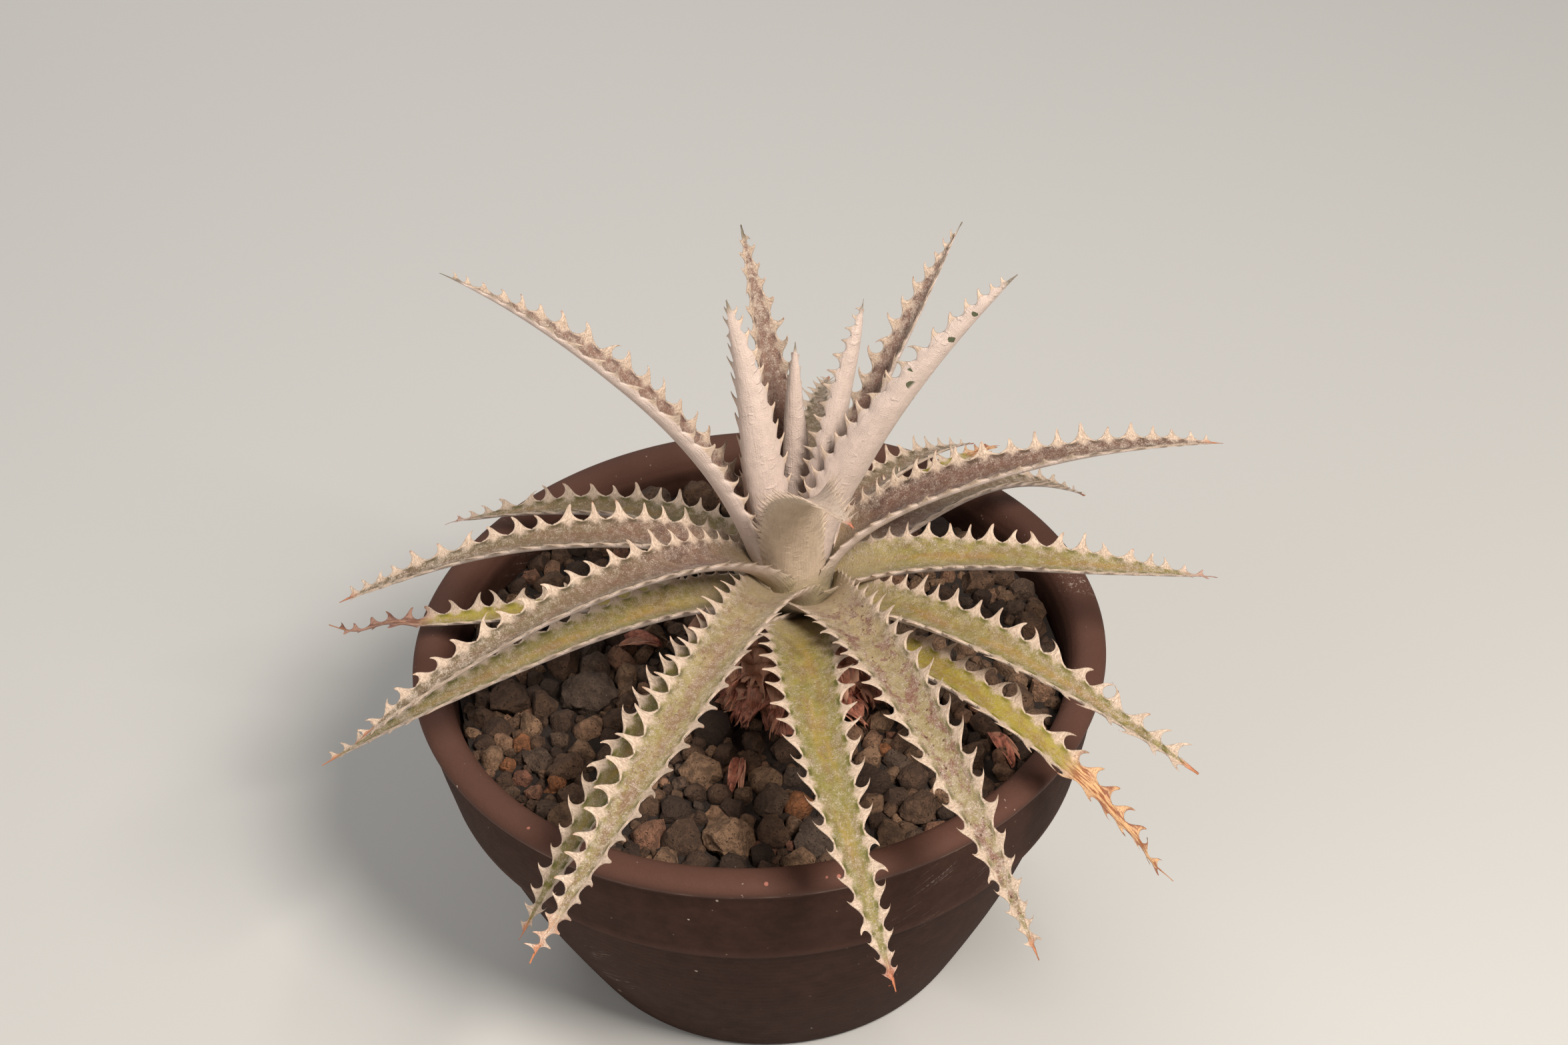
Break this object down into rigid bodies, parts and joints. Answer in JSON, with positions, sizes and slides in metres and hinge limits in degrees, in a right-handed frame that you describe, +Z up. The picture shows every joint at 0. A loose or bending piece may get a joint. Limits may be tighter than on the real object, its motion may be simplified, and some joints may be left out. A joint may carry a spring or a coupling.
{
  "type": "potted dyckia bromeliad",
  "caption": "Spiny rosette of stiff channelled leaves on a short stem, growing in coarse gravel in a round tapered clay pot with a rolled rim.",
  "frame": {"origin": "middle of the pot's flat underside", "axes": "+Z up along the pot's axis; the picture looks along +Y, with +X to its right"},
  "size_m": [0.2043, 0.2101, 0.1972],
  "materials": {
    "clay": "unglazed dark brown fired clay, matt, with pale flecks and rubbed edges",
    "gravel": "dry porous mineral grit, grey-brown with a few orange grains",
    "rock": "rough loose stones, grey-brown, matt",
    "stem_bark": "dry scarred stump",
    "leaf_felt": "waxy olive to purple-brown blade under fine white scales, with an ivory felted underside and horny margins",
    "dry_leaf": "dry papery reddish-brown leaf remains"
  },
  "bodies": {
    "root": {"dry_base_1": "dry_leaf", "dry_base_2": "dry_leaf", "dry_base_3": "dry_leaf", "dry_base_4": "dry_leaf", "dry_base_5": "dry_leaf", "dry_base_6": "dry_leaf", "fallen_leaf_1": "dry_leaf", "fallen_leaf_2": "dry_leaf", "fallen_leaf_3": "dry_leaf", "fallen_leaf_4": "dry_leaf", "gravel_bed": "gravel", "leaf_back": "leaf_felt", "leaf_back_hidden": "leaf_felt", "leaf_back_left": "leaf_felt", "leaf_back_right_long": "leaf_felt", "leaf_back_right_olive": "leaf_felt", "leaf_back_right_yellow": "leaf_felt", "leaf_curled_front": "leaf_felt", "leaf_front": "leaf_felt", "leaf_front_left": "leaf_felt", "leaf_front_left_low": "leaf_felt", "leaf_front_right": "leaf_felt", "leaf_heart": "leaf_felt", "leaf_high_back_right": "leaf_felt", "leaf_high_left": "leaf_felt", "leaf_high_right": "leaf_felt", "leaf_left": "leaf_felt", "leaf_left_low": "leaf_felt", "leaf_left_yellow": "leaf_felt", "leaf_right": "leaf_felt", "leaf_right_low": "leaf_felt", "leaf_right_yellow": "leaf_felt", "leaf_upright_back": "leaf_felt", "leaf_upright_left": "leaf_felt", "leaf_upright_right": "leaf_felt", "leaf_young_left": "leaf_felt", "leaf_young_right": "leaf_felt", "pot": "clay", "stem": "stem_bark", "stone_1": "rock", "stone_10": "rock", "stone_2": "rock", "stone_3": "rock", "stone_4": "rock", "stone_5": "rock", "stone_6": "rock", "stone_7": "rock", "stone_8": "rock", "stone_9": "rock"}
  },
  "joints": []
}
